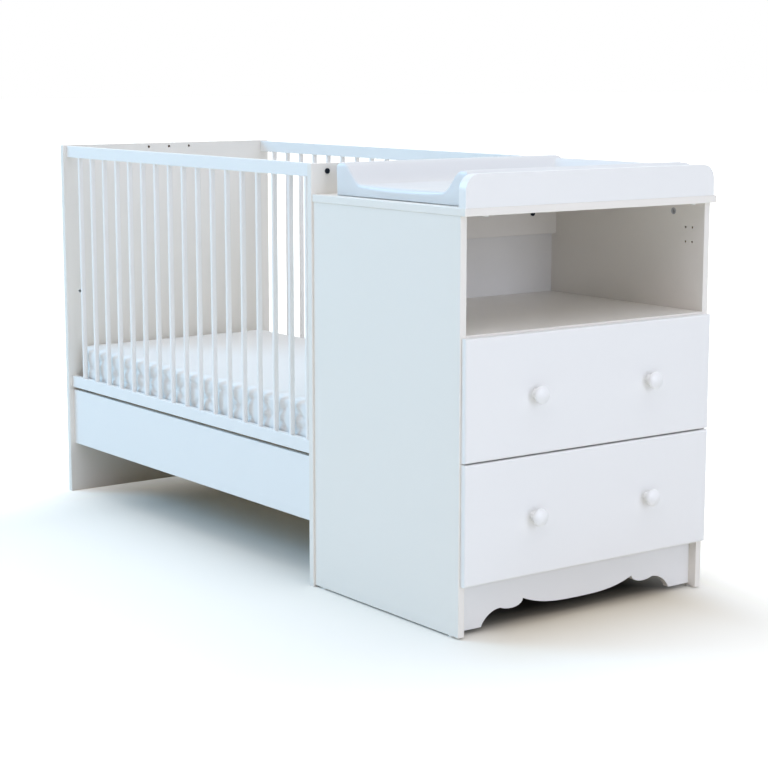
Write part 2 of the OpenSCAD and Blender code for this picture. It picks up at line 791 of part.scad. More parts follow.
module cabinet_runners() color(runner_white) for (z = drawer_z) both_runners(z) {
    difference() {
        translate([runner_x, niche_w / 2 - runner_sheet, 0]) cube([runner_l, runner_sheet, channel_h]);
        for (x = runner_screw_x) translate([x, niche_w / 2, channel_h / 2]) rod_y(4, 4);
    }
    translate([runner_x, niche_w / 2 - channel_lip, 0])
        cube([runner_l - 2 * roller_end - 2, channel_lip, runner_sheet]);
    translate([runner_x, niche_w / 2 - channel_lip + 4, channel_h - runner_sheet])
        cube([runner_l, channel_lip - 4, runner_sheet]);
    translate([x_front - roller_end, roller_y, roller_z])
        axle(niche_w / 2 - runner_sheet - roller_y, -1);
}

// Riveted axle: a collar reaches back to the sheet at distance reach, and a
// head holds the roller on the side that way points to
module axle(reach, way) {
    collar = roller_w / 2 + axle_end_play;
    wide = 1.8 * axle_d;
    translate([0, way * (axle_head + collar - reach) / 2, 0]) rod_y(axle_d, axle_head + collar + reach);
    translate([0, -way * (collar + reach) / 2, 0]) rod_y(wide, reach - collar + 0.02);
    translate([0, way * (collar + axle_head / 2), 0]) rod_y(wide, axle_head);
}

module roller() difference() {
    rod_y(roller_d, roller_w);
    rod_y(axle_d + 2 * axle_play, roller_w + 1);
}

module cabinet_rollers(z) both_runners(z)
    translate([x_front - roller_end, roller_y, roller_z]) roller();

module drawer_runners(z) both_runners(z) {
    y = box_w / 2;
    rail_l = box_d - front_play;
    translate([box_x, y, box_over_channel - runner_sheet])
        cube([rail_l, runner_sheet, flange_z - box_over_channel + 2 * runner_sheet]);
    translate([box_x, y, flange_z]) cube([rail_l, channel_lip, runner_sheet]);
    translate([box_x, y - box_t, box_over_channel - runner_sheet])
        cube([rail_l, box_t + runner_sheet, runner_sheet]);
    translate([box_x + roller_end, roller_y, roller_z]) axle(roller_y - y - runner_sheet, 1);
}

module drawer_rollers(z) both_runners(z)
    translate([box_x + roller_end, roller_y, roller_z]) roller();

// ---- drawers; z is the height of the front's lower edge ------------------

module each_knob(z) for (y = [-1, 1]) translate([x_face, y * knob_span / 2, z + knob_z]) children();

// Cam fittings of a box, on its outer faces: sides to front, and back to sides
module drawer_front_cams(z) for (s = [-1, 1], h = [box_h * 0.22, box_h * 0.8])
    translate([x_drawer, s * (box_w - box_t) / 2, z + box_lift + h]) rotate([90 * s, 0, 180]) children();

module drawer_back_cams(z) for (s = [-1, 1])
    translate([box_x + box_t / 2, s * (box_w / 2 - box_t), z + box_lift + box_h / 2])
        rotate([90 * s, 0, -90 * s]) children();

module drawer_bottom_slab(z, grow, deep) translate([
    box_x - grow, -box_w / 2 + box_t - deep, z + box_lift + bottom_lift - grow / 2])
    cube([box_d + deep + grow, box_w - 2 * box_t + 2 * deep, bottom_t + grow]);

// Section of a drawer front of width w: wide roundings at its face, small ones at its rear
module front_section(w) intersection() {
    soft_rect([front_t, w], edge_r);
    translate([-2 * front_r, 0]) soft_rect([front_t + 2 * front_r, w], front_r);
}

module front_slab() intersection() {
    linear_extrude(front_h) front_section(front_w);
    translate([0, front_w, 0]) rotate([90, 0, 0]) linear_extrude(front_w) front_section(front_h);
}

module drawer_front(z) difference() {
    translate([x_drawer, -front_w / 2, z]) front_slab();
    drawer_front_cams(z) cam_pilot();
    drawer_bottom_slab(z, 0.2, bottom_groove + 0.1);
    each_knob(z) translate([-front_t - 1, 0, 0]) rod_x(screw_d + 0.6, front_t + 2);
}

module drawer_side(z, s) difference() {
    translate([box_x, s * (box_w - box_t) / 2 - box_t / 2, z + box_lift]) board([box_d, box_t, box_h], 1);
    drawer_front_cams(z) cam_pocket(box_t);
    drawer_back_cams(z) cam_pilot();
    drawer_bottom_slab(z, 0.2, bottom_groove + 0.1);
}

module drawer_back(z) difference() {
    translate([box_x, -box_w / 2 + box_t, z + box_lift + bottom_lift + bottom_t + 0.1])
        board([box_t, box_w - 2 * box_t, box_h - bottom_lift - bottom_t - 0.1], 1);
    drawer_back_cams(z) cam_pocket(box_t);
}

module drawer_cams(z) {
    drawer_front_cams(z) cam_lock(box_t);
    drawer_back_cams(z) cam_lock(box_t);
}

module drawer_cam_bolts(z) {
    drawer_front_cams(z) cam_bolt();
    drawer_back_cams(z) cam_bolt();
}

// Turned knob: a domed cap on a waisted neck, with a bore for its screw. The cap's dome
// runs smoothly into the round rim.
knob_screw_h = knob_l * 0.4;
rim_x = knob_d / 2 - knob_rim_r;
rim_drop = cap_h - knob_rim_r;
dome_r = (rim_x * rim_x + rim_drop * rim_drop - knob_rim_r * knob_rim_r) / (2 * (rim_drop - knob_rim_r));
dome_x = rim_x * dome_r / (dome_r - knob_rim_r);

module knob_section() difference() {
    union() {
        translate([rim_x, knob_l - rim_drop]) circle(knob_rim_r);
        intersection() {
            translate([0, knob_l - dome_r]) circle(dome_r, $fn = 96);
            union() {
                translate([0, knob_l - rim_drop]) square([dome_x, rim_drop]);
                translate([0, knob_l - cap_h]) square([rim_x, cap_h]);
            }
        }
        difference() {
            square([knob_foot_d / 2, knob_l - cap_h + 1]);
            translate([knob_foot_d / 2 + 6, (knob_l - cap_h) / 2 + 0.5]) circle((knob_l - cap_h) / 2);
        }
    }
    translate([-knob_d, -1]) square([knob_d, 2 * knob_l]);
    translate([0, -1]) square([screw_d / 2 + 0.05, knob_screw_h + 2]);
}

module knobs(z) each_knob(z) rotate([0, 90, 0]) rotate_extrude($fn = 64) knob_section();

module knob_screws(z) each_knob(z) {
    translate([-front_t, 0, 0]) rod_x(screw_d, front_t + knob_screw_h);
    translate([-front_t - screw_head_h, 0, 0]) rod_x(screw_head_d, screw_head_h);
}

module upper_drawer_front() color(white) drawer_front(drawer_z[1]);
module upper_drawer_left_side() color(white) drawer_side(drawer_z[1], -1);
module upper_drawer_right_side() color(white) drawer_side(drawer_z[1], 1);
module upper_drawer_back() color(white) drawer_back(drawer_z[1]);
module upper_drawer_bottom() color(white) drawer_bottom_slab(drawer_z[1], 0, bottom_groove);
module upper_drawer_runners() color(runner_white) drawer_runners(drawer_z[1]);
module upper_drawer_rollers() color(runner_white) drawer_rollers(drawer_z[1]);
module upper_drawer_cams() color(zinc) drawer_cams(drawer_z[1]);
module upper_drawer_cam_bolts() color(zinc) drawer_cam_bolts(drawer_z[1]);
module upper_knobs() color(white) knobs(drawer_z[1]);
module upper_knob_screws() color(zinc) knob_screws(drawer_z[1]);
module upper_cabinet_rollers() color(runner_white) cabinet_rollers(drawer_z[1]);

module lower_drawer_front() color(white) drawer_front(drawer_z[0]);
module lower_drawer_left_side() color(white) drawer_side(drawer_z[0], -1);
module lower_drawer_right_side() color(white) drawer_side(drawer_z[0], 1);
module lower_drawer_back() color(white) drawer_back(drawer_z[0]);
module lower_drawer_bottom() color(white) drawer_bottom_slab(drawer_z[0], 0, bottom_groove);
module lower_drawer_runners() color(runner_white) drawer_runners(drawer_z[0]);
module lower_drawer_rollers() color(runner_white) drawer_rollers(drawer_z[0]);
module lower_drawer_cams() color(zinc) drawer_cams(drawer_z[0]);
module lower_drawer_cam_bolts() color(zinc) drawer_cam_bolts(drawer_z[0]);
module lower_knobs() color(white) knobs(drawer_z[0]);
module lower_knob_screws() color(zinc) knob_screws(drawer_z[0]);
module lower_cabinet_rollers() color(runner_white) cabinet_rollers(drawer_z[0]);

// ---- soft parts ----------------------------------------------------------

// Closed skin over rings of equal length, with a centre point at each end
module ringed_solid(rings, low_point, high_point) {
    n = len(rings[0]);
    m = len(rings);
    points = concat([for (r = rings) each r], [low_point, high_point]);
    walls = [for (j = [0 : m - 2], i = [0 : n - 1]) each [
        [j * n + i, (j + 1) * n + i, (j + 1) * n + (i + 1) % n],
        [j * n + i, (j + 1) * n + (i + 1) % n, j * n + (i + 1) % n]
    ]];
    floor_fan = [for (i = [0 : n - 1]) [n * m, i, (i + 1) % n]];
    top_fan = [for (i = [0 : n - 1]) [n * m + 1, (m - 1) * n + (i + 1) % n, (m - 1) * n + i]];
    polyhedron(concat(points), concat(walls, floor_fan, top_fan));
}

// Mattress: a quilted border between two piped edges, and a crowned top
mattress_corner = 30;
corner_steps = 3;
quilt_l = 8;
quilt_w = 4;
quilt_steps = 4;
quilt_depth = 3;
pipe_h = 7;

// Fullness of the border between its crossing diagonal seams, 0 on a seam
function quilt(u, v) = v < 0 ? 0 : abs(sin(180 * (u + v)) * sin(180 * (u - v)));

function border_run(n, a, b, out, v) = [for (i = [0 : n - 1])
    a + (b - a) * i / n + out * quilt_depth * quilt(i / quilt_steps, v)];

function corner_run(c, r, start) = [for (i = [0 : corner_steps - 1])
    let (a = start + 90 * i / corner_steps) c + r * [cos(a), sin(a)]];

// One ring of the mattress; v is the height within the border, or -1 outside it
function mattress_ring(inset, z, v = -1) = let (
    l = mattress_l / 2 - inset,
    w = mattress_w / 2 - inset,
    r = max(mattress_corner - inset, 4),
    nl = quilt_l * quilt_steps,
    nw = quilt_w * quilt_steps,
    ring = concat(
        border_run(nl, [r - l, -w], [l - r, -w], [0, -1], v), corner_run([l - r, r - w], r, -90),
        border_run(nw, [l, r - w], [l, w - r], [1, 0], v), corner_run([l - r, w - r], r, 0),
        border_run(nl, [l - r, w], [r - l, w], [0, 1], v), corner_run([r - l, w - r], r, 90),
        border_run(nw, [-l, w - r], [-l, r - w], [-1, 0], v), corner_run([r - l, r - w], r, 180)
    )
) [for (p = ring) [p.x, p.y, z]];

border_z = 2 * pipe_h;
border_h = mattress_h - 4 * pipe_h;
mattress_rings = [
    mattress_ring(14, 0),
    mattress_ring(0, pipe_h),
    for (k = [0 : 4]) mattress_ring(quilt_depth + 1, border_z + border_h * k / 4, k / 4),
    mattress_ring(0, mattress_h - pipe_h - 2),
    mattress_ring(5, mattress_h - pipe_h + 2),
    mattress_ring(mattress_w * 0.04, mattress_h - 2),
    mattress_ring(mattress_w * 0.16, mattress_h - 0.4)
];

module mattress() color(cloth_white)
    translate([x_in0 + inner_l / 2, 0, mattress_z + rest_play])
        ringed_solid(mattress_rings, [0, 0, 0], [0, 0, mattress_h]);

// Changing mat: a dip between two side bolsters and a head bolster, with upright sides.
// Distances of the mat's rows of points from an upright side, and from its open end
mat_side_steps = [0, 2, 6, 12, 24, 36, 48, 60, 72, 84];
mat_end_steps = [0, 1.5, 5];
mat_long_steps = 7;

function smooth(t) = let (c = max(0, min(1, t))) c * c * (3 - 2 * c);
// Height of a bolster at distance d from its outer side
function bolster(d, h) = mat_dip_h + (h - mat_dip_h) * (1 - smooth((d - mat_crest) / mat_slope));
// Height that an edge of radius r loses at distance d from its side
function edge_drop(d, r) = d >= r ? 0 : r - sqrt(r * r - (r - d) * (r - d));
function mat_top(x, y) = let (
    side = min(x, mat_w - x),
    head = mat_l - y
) max(bolster(side, mat_side_h), bolster(head, mat_head_h))
    - max(edge_drop(min(side, head), mat_edge), edge_drop(y, mat_end_edge));

last_side = len(mat_side_steps) - 1;
mat_run = mat_l - mat_side_steps[last_side] - mat_end_steps[2];
mat_xs = concat(mat_side_steps, [mat_w / 2], [for (i = [last_side : -1 : 0]) mat_w - mat_side_steps[i]]);
mat_ys = concat(
    mat_end_steps,
    [for (i = [1 : mat_long_steps - 1]) mat_end_steps[2] + mat_run * i / mat_long_steps],
    [for (i = [last_side : -1 : 0]) mat_l - mat_side_steps[i]]
);
mat_nx = len(mat_xs) - 1;
mat_ny = len(mat_ys) - 1;
mat_points = [for (y = mat_ys, x = mat_xs) [x, y, mat_top(x, y)]];
mat_row = mat_nx + 1;
mat_rim = concat(
    [for (i = [0 : mat_nx - 1]) i],
    [for (j = [0 : mat_ny - 1]) j * mat_row + mat_nx],
    [for (i = [mat_nx : -1 : 1]) mat_ny * mat_row + i],
    [for (j = [mat_ny : -1 : 1]) j * mat_row]
);
mat_base = [for (k = mat_rim) [mat_points[k].x, mat_points[k].y, 0]];

module changing_mat() color(cloth_white) {
    top_n = len(mat_points);
    rim_n = len(mat_rim);
    top_faces = [for (j = [0 : mat_ny - 1], i = [0 : mat_nx - 1])
        let (a = j * mat_row + i, b = a + 1, c = a + mat_row, d = c + 1)
        each [[a, c, d], [a, d, b]]];
    rim_faces = [for (k = [0 : rim_n - 1])
        let (p = mat_rim[k], q = mat_rim[(k + 1) % rim_n], r = top_n + k, s = top_n + (k + 1) % rim_n)
        each [[p, q, s], [p, s, r]]];
    base_fan = [for (k = [0 : rim_n - 1]) [top_n + rim_n, top_n + k, top_n + (k + 1) % rim_n]];
    translate([x_cab + mat_gap, mat_y, changer_z + rest_play])
        polyhedron(concat(mat_points, mat_base, [[mat_w / 2, mat_l / 2, 0]]),
            concat(top_faces, rim_faces, base_fan));
}

// ---- nodes ---------------------------------------------------------------

end_panel();
middle_panel();
front_top_rail();
front_bottom_rail();
front_lower_board();
front_slats();
back_top_rail();
back_bottom_rail();
back_lower_board();
back_slats();
side_bolts();
barrel_nuts();
base_end_bars();
base_side_bars();
base_slats();
base_bolts();
insert_nuts();
mattress();
cabinet_left_side();
cabinet_right_side();
changer_top();
guard_board();
guard_screws();
guard_screw_caps();
rear_top_rail();
niche_shelf();
back_board();
bottom_board();
rear_bottom_rail();
apron();
cam_locks();
cam_bolts();
joining_bolts();
glides();
cabinet_runners();
upper_cabinet_rollers();
lower_cabinet_rollers();
changing_mat();
upper_drawer_front();
upper_drawer_left_side();
upper_drawer_right_side();
upper_drawer_back();
upper_drawer_bottom();
upper_drawer_runners();
upper_drawer_rollers();
upper_drawer_cams();
upper_drawer_cam_bolts();
upper_knobs();
upper_knob_screws();
lower_drawer_front();
lower_drawer_left_side();
lower_drawer_right_side();
lower_drawer_back();
lower_drawer_bottom();
lower_drawer_runners();
lower_drawer_rollers();
lower_drawer_cams();
lower_drawer_cam_bolts();
lower_knobs();
lower_knob_screws();
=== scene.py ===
# %% [markdown]
# # A crib with an attached changing cabinet
# The boards, rails, slats, drawers and fittings of this crib come from a CAD
# model. This lesson dresses that model: it gives every part the finish of the
# real one, makes the two soft pieces, the mattress and the changing mat, and
# sets up a white studio. Lengths are in metres. X runs from the crib's end
# panel to the drawer fronts, the near slatted side faces -Y, and Z is up.

# %% Load the model
import math

import bmesh
import bpy
from mathutils import Matrix, Vector


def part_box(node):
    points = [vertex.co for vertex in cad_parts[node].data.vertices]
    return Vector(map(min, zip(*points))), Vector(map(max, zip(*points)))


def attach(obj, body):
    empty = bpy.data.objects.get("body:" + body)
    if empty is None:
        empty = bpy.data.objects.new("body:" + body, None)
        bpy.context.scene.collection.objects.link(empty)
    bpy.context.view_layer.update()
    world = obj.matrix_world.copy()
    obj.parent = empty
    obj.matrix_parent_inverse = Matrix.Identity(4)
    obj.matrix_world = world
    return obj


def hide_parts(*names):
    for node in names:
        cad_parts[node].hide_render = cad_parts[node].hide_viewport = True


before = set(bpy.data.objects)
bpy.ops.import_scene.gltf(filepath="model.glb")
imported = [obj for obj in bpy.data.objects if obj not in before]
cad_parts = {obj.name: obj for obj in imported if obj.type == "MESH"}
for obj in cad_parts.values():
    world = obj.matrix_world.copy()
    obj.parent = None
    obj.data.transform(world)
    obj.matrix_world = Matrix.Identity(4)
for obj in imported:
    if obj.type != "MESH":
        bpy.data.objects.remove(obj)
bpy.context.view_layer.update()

# %% [markdown]
# ## Helpers for the finishes
# A colour is written as an sRGB hex value, as a paint chart gives it, but
# shaders calculate in linear light, so one function turns one into the other.
# The second helper adds a node, sets it up and joins it to what feeds it. The
# third starts a finish from its main values, and hands back what the patterns
# are joined to.

# %% Colour and node helpers
def linear(code):
    parts = [int(code[i : i + 2], 16) / 255 for i in (1, 3, 5)]
    return [*((c / 12.92 if c <= 0.04045 else ((c + 0.055) / 1.055) ** 2.4) for c in parts), 1.0]


def add_node(tree, kind, inputs=(), **settings):
    node = tree.nodes.new(kind)
    for name, value in settings.items():
        setattr(node, name, value)
    for name, value in dict(inputs).items():
        if isinstance(value, bpy.types.NodeSocket):
            tree.links.new(value, node.inputs[name])
        else:
            node.inputs[name].default_value = value
    return node


def new_finish(name, colour, roughness, ior=1.5, metallic=0.0):
    finish = bpy.data.materials.new(name)
    finish.use_nodes = True
    tree = finish.node_tree
    tree.nodes.clear()
    place = add_node(tree, "ShaderNodeTexCoord").outputs["Object"]
    shader = add_node(
        tree,
        "ShaderNodeBsdfPrincipled",
        {"Base Color": linear(colour), "Roughness": roughness, "IOR": ior, "Metallic": metallic},
    )
    add_node(tree, "ShaderNodeOutputMaterial", {"Surface": shader.outputs[0]})
    return finish, tree, place, shader


print("white board in linear light:", [round(c, 3) for c in linear("#F1ECE4")])

# %% [markdown]
# ## Surface relief
# No real surface is perfectly flat. A noise texture feeds a Bump node, which
# tilts the shading without adding any geometry. The size of the pattern is
# given in millimetres and the height in micrometres. Relief that is too fine
# to show is drawn a little coarser than it is.

# %% Relief and tone helpers
def add_relief(tree, place, shader, grain_mm, height_um, detail=2.0):
    pattern = add_node(
        tree, "ShaderNodeTexNoise", {"Vector": place, "Scale": 1000 / grain_mm, "Detail": detail}
    )
    bump = add_node(
        tree,
        "ShaderNodeBump",
        {"Height": pattern.outputs["Fac"], "Distance": height_um * 1e-6, "Strength": 1.0},
    )
    tree.links.new(bump.outputs["Normal"], shader.inputs["Normal"])


def vary_roughness(tree, place, shader, patch_mm, low, high):
    patches = add_node(
        tree, "ShaderNodeTexNoise", {"Vector": place, "Scale": 1000 / patch_mm, "Detail": 3.0}
    )
    spread = add_node(
        tree,
        "ShaderNodeMapRange",
        {
            "Value": patches.outputs["Fac"],
            "From Min": 0.3,
            "From Max": 0.7,
            "To Min": low,
            "To Max": high,
        },
    )
    tree.links.new(spread.outputs["Result"], shader.inputs["Roughness"])


def vary_colour(tree, place, shader, patch_mm, dark, light):
    patches = add_node(
        tree, "ShaderNodeTexNoise", {"Vector": place, "Scale": 1000 / patch_mm, "Detail": 4.0}
    )
    blend = add_node(
        tree,
        "ShaderNodeMix",
        {"Factor": patches.outputs["Fac"], "A": linear(dark), "B": linear(light)},
        data_type="RGBA",
    )
    tree.links.new(blend.outputs["Result"], shader.inputs["Base Color"])
    return blend


print("relief and tone helpers are ready")

# %% [markdown]
# ## White board finishes
# The panels are chipboard faced with melamine: paper soaked in resin and
# pressed against a steel plate. The plate leaves a fine pearl, so the board
# has a satin gloss that breaks up reflections. Its white is a warm one, which
# shows most in the niche, where the light bounces from board to board.
# A hole that is bored through the facing shows the raw chipboard inside. The
# core is everything more than 1.3 mm under the board's faces, so each board
# gets its own finish, with the limits of its own core.

# %% Melamine-faced chipboard
FACING = 0.0013
CHIP_MM = 2.5
WHITE_DARK, WHITE_LIGHT = "#F0EBE2", "#F2EDE5"


def board(node):
    finish, tree, place, shader = new_finish("melamine_on_" + node, "#F1ECE4", 0.32)
    add_relief(tree, place, shader, grain_mm=1.5, height_um=18)
    vary_roughness(tree, place, shader, patch_mm=90, low=0.29, high=0.36)
    facing = vary_colour(tree, place, shader, patch_mm=400, dark=WHITE_DARK, light=WHITE_LIGHT)
    chips = add_node(tree, "ShaderNodeTexVoronoi", {"Vector": place, "Scale": 1000 / CHIP_MM})
    core = add_node(tree, "ShaderNodeValToRGB", {"Fac": chips.outputs["Distance"]})
    core.color_ramp.elements[0].color = linear("#B9966A")
    core.color_ramp.elements[1].color = linear("#7A5C3B")
    box_low, box_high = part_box(node)
    middle = (box_low + box_high) / 2
    reach = (box_high - box_low) / 2 - Vector((FACING, FACING, FACING))
    away = add_node(tree, "ShaderNodeVectorMath", {0: place, 1: middle}, operation="SUBTRACT")
    away = add_node(tree, "ShaderNodeVectorMath", {0: away.outputs[0]}, operation="ABSOLUTE")
    depth = add_node(
        tree, "ShaderNodeVectorMath", {0: reach, 1: away.outputs[0]}, operation="SUBTRACT"
    )
    sides = add_node(tree, "ShaderNodeSeparateXYZ", {0: depth.outputs[0]})
    least = add_node(
        tree, "ShaderNodeMath", {0: sides.outputs["X"], 1: sides.outputs["Y"]}, operation="MINIMUM"
    )
    least = add_node(
        tree, "ShaderNodeMath", {0: least.outputs[0], 1: sides.outputs["Z"]}, operation="MINIMUM"
    )
    inside = add_node(
        tree, "ShaderNodeMath", {0: least.outputs[0], 1: 0.0}, operation="GREATER_THAN"
    )
    colour = add_node(
        tree,
        "ShaderNodeMix",
        {"Factor": inside.outputs[0], "A": facing.outputs["Result"], "B": core.outputs["Color"]},
        data_type="RGBA",
    )
    tree.links.new(colour.outputs["Result"], shader.inputs["Base Color"])
    return finish


print("facing thickness:", round(FACING * 1000, 1), "mm")

# %% [markdown]
# The rails, slats, lower boards, guard board, apron, drawer fronts and knobs
# are sprayed with satin lacquer, which dries with a softer, wider ripple known
# as orange peel. The slats are solid beech, and get a warmer and lighter copy
# of the lacquer: its extra lightness is painted light on the slats. The thin
# back and the drawer bottoms are hardboard with a white printed face.

# %% Lacquer and hardboard
lacquer, tree, place, shader = new_finish("satin_lacquer", "#F2F1EE", 0.32)
add_relief(tree, place, shader, grain_mm=4.0, height_um=28)
vary_roughness(tree, place, shader, patch_mm=60, low=0.29, high=0.36)
vary_colour(tree, place, shader, patch_mm=250, dark="#F1F0ED", light="#F3F2EF")

# The slats' copy is warmer and lighter than the lacquer; its lightness is painted light.
lighter_slat_lacquer, tree, place, shader = new_finish("lighter_satin_lacquer_on_slats", "#F8F4F0", 0.32)
add_relief(tree, place, shader, grain_mm=4.0, height_um=28)
vary_roughness(tree, place, shader, patch_mm=60, low=0.29, high=0.36)
vary_colour(tree, place, shader, patch_mm=150, dark="#F6F2EE", light="#F9F6F2")

hardboard, tree, place, shader = new_finish("white_faced_hardboard", "#EAE7E1", 0.55)
add_relief(tree, place, shader, grain_mm=2.5, height_um=40)
vary_colour(tree, place, shader, patch_mm=120, dark="#E7E4DE", light="#EDEAE4")
print("board finishes:", lacquer.name, lighter_slat_lacquer.name, hardboard.name)

# %% [markdown]
# ## Metals and plastics
# Zinc-plated fittings are a metal with a soft, slightly cloudy shine, while
# the frame bolts are blackened. The runners are sheet steel with a white
# powder coat, whose baked grains give it a fine pebbled skin. Rollers, caps
# and glides are moulded polyamide, a faintly creamy plastic. On pieces this
# small an uneven gloss says enough about bare metal, so only the coated and
# the moulded ones get relief.

# %% Fittings
zinc, tree, place, shader = new_finish("zinc_plated_steel", "#C3C5C8", 0.32, metallic=1.0)
vary_roughness(tree, place, shader, patch_mm=4, low=0.29, high=0.42)
vary_colour(tree, place, shader, patch_mm=6, dark="#B4B6B9", light="#CED0D3")

black_steel, tree, place, shader = new_finish("blackened_steel", "#2B3138", 0.36, metallic=1.0)
vary_roughness(tree, place, shader, patch_mm=3, low=0.30, high=0.46)
vary_colour(tree, place, shader, patch_mm=4, dark="#23282E", light="#353C45")

powder_coat, tree, place, shader = new_finish("powder_coated_steel", "#E6E5E1", 0.45)
add_relief(tree, place, shader, grain_mm=1.2, height_um=40)
vary_roughness(tree, place, shader, patch_mm=12, low=0.40, high=0.52)

polyamide, tree, place, shader = new_finish("moulded_polyamide", "#EEEDE8", 0.45, ior=1.53)
add_relief(tree, place, shader, grain_mm=0.8, height_um=15)
vary_roughness(tree, place, shader, patch_mm=8, low=0.40, high=0.52)
print("fittings:", zinc.name, black_steel.name, powder_coat.name, polyamide.name)

# %% [markdown]
# ## Planed pine
# The mattress base is plain pine. Growth rings cut lengthwise show as long
# stripes, pale early wood and darker late wood about 4 mm apart. A noise
# texture that is squeezed across the grain and stretched along it gives such
# stripes, which have to run along each piece's own length.

# %% Pine along X and along Y
RINGS_PER_METRE, LENGTHS_PER_METRE = 240.0, 6.0


def pine(name, along):
    finish, tree, place, shader = new_finish(name, "#DCC190", 0.60)
    stretch = [RINGS_PER_METRE] * 3
    stretch["XY".index(along)] = LENGTHS_PER_METRE
    squeezed = add_node(tree, "ShaderNodeMapping", {"Vector": place, "Scale": stretch})
    rings = add_node(
        tree,
        "ShaderNodeTexNoise",
        {"Vector": squeezed.outputs[0], "Scale": 1.0, "Detail": 5.0, "Distortion": 0.6},
    )
    tones = add_node(tree, "ShaderNodeValToRGB", {"Fac": rings.outputs["Fac"]})
    tones.color_ramp.elements[0].position = 0.36
    tones.color_ramp.elements[0].color = linear("#C9A468")
    tones.color_ramp.elements[1].position = 0.60
    tones.color_ramp.elements[1].color = linear("#E6CF9F")
    tree.links.new(tones.outputs["Color"], shader.inputs["Base Color"])
    bump = add_node(
        tree,
        "ShaderNodeBump",
        {"Height": rings.outputs["Fac"], "Distance": 1.2e-4, "Strength": 1.0},
    )
    tree.links.new(bump.outputs["Normal"], shader.inputs["Normal"])
    return finish


pine_x = pine("planed_pine_along_x", "X")
pine_y = pine("planed_pine_along_y", "Y")
print("wood finishes:", pine_x.name, pine_y.name)

# %% [markdown]
# ## Give every CAD part its finish
# The parts keep their CAD meshes. Only the material in each object's slot is
# exchanged, so a table from finish to parts is all that is needed. The boards
# come first, because each of them has a finish of its own.

# %% Assign the finishes
drawer_levels = ("upper", "lower")


def dress(node, finish):
    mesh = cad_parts[node].data
    mesh.materials.clear()
    mesh.materials.append(finish)


boards = [
    "end_panel", "middle_panel", "cabinet_left_side", "cabinet_right_side", "changer_top",
    "rear_top_rail", "niche_shelf", "bottom_board", "rear_bottom_rail",
] + [f"{d}_drawer_{p}" for d in drawer_levels for p in ("left_side", "right_side", "back")]
for name in boards:
    dress(name, board(name))
print("melamine on", len(boards), "boards")

parts_of = {
    lacquer: [
        "front_top_rail", "front_bottom_rail", "front_lower_board", "back_top_rail",
        "back_bottom_rail", "back_lower_board", "guard_board", "apron",
    ] + [f"{d}_drawer_front" for d in drawer_levels] + [f"{d}_knobs" for d in drawer_levels],
    lighter_slat_lacquer: ["front_slats", "back_slats"],
    hardboard: ["back_board"] + [f"{d}_drawer_bottom" for d in drawer_levels],
    zinc: ["barrel_nuts", "insert_nuts", "guard_screws", "cam_locks", "cam_bolts"]
    + [f"{d}_drawer_{p}" for d in drawer_levels for p in ("cams", "cam_bolts")]
    + [f"{d}_knob_screws" for d in drawer_levels],
    black_steel: ["side_bolts", "base_bolts", "joining_bolts"],
    powder_coat: ["cabinet_runners"] + [f"{d}_drawer_runners" for d in drawer_levels],
    polyamide: ["guard_screw_caps", "glides"]
    + [f"{d}_{p}" for d in drawer_levels for p in ("cabinet_rollers", "drawer_rollers")],
    pine_x: ["base_side_bars"],
    pine_y: ["base_end_bars", "base_slats"],
}
for finish, names in parts_of.items():
    for name in names:
        dress(name, finish)
    print(finish.name, "on", len(names), "parts")

# %% [markdown]
# ## Soft pieces: shared steps
# A padded piece is easiest to believe when its skin has really been blown up.
# Its form is first made of small squares, by a remesh or from a fine grid.
# Blender's Cloth then inflates it for a few frames with no gravity, and the
# result is kept as a plain mesh. A cap on how far a point may travel holds the
# piece close to its form.

# %% Mesh helpers
def new_piece(name, bm, finish, smooth=True):
    mesh = bpy.data.meshes.new(name)
    bm.to_mesh(mesh)
    bm.free()
    piece = bpy.data.objects.new(name, mesh)
    bpy.context.scene.collection.objects.link(piece)
    mesh.materials.append(finish)
    for face in mesh.polygons:
        face.use_smooth = smooth
    return piece


def apply_modifiers(piece):
    bpy.context.view_layer.update()
    graph = bpy.context.evaluated_depsgraph_get()
    made = bpy.data.meshes.new_from_object(piece.evaluated_get(graph))
    finish = piece.data.materials[0]
    piece.modifiers.clear()
    piece.data = made
    made.materials.clear()
    made.materials.append(finish)
    for face in made.polygons:
        face.use_smooth = True


def remesh(piece, voxel):
    step = piece.modifiers.new("Even squares", "REMESH")
    step.mode = "VOXEL"
    step.voxel_size = voxel
    apply_modifiers(piece)


def inflate(piece, pressure, cap, frames=20):
    rest = [v.co.copy() for v in piece.data.vertices]
    cloth = piece.modifiers.new("Inflate", "CLOTH")
    cloth.settings.use_pressure = True
    cloth.settings.uniform_pressure_force = pressure
    cloth.settings.effector_weights.gravity = 0.0
    cloth.settings.tension_stiffness = 25
    cloth.settings.compression_stiffness = 25
    cloth.settings.bending_stiffness = 0.8
    for number in range(1, frames + 1):
        bpy.context.scene.frame_set(number)
    apply_modifiers(piece)
    bpy.context.scene.frame_set(1)
    for vertex, start in zip(piece.data.vertices, rest):
        move = vertex.co - start
        if move.length > cap:
            vertex.co = start + move * (cap / move.length)


print("soft-piece helpers are ready")

# %% [markdown]
# ## The mattress
# A foam mattress in a quilted cover, 1200 x 600 x 100 mm. A box with rounded
# edges is remeshed and inflated, so that the top crowns and the sides swell.
# The tight cloth also draws the box in by some millimetres, so it starts that
# much wider: the border has to stand close behind the slats, where their
# shadows fall. The seams of the quilting come last, because a remesh would
# wash them out: crossing slanted seams pull the border's cloth in.

# %% Mattress body
CORNER_RADIUS, RIM_RADIUS = 0.030, 0.012
TAKE_UP = Vector((0.002, 0.006, -0.006))
low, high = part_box("mattress")
centre = (low + high) / 2
size = high - low
print("mattress space:", [round(x, 4) for x in size])

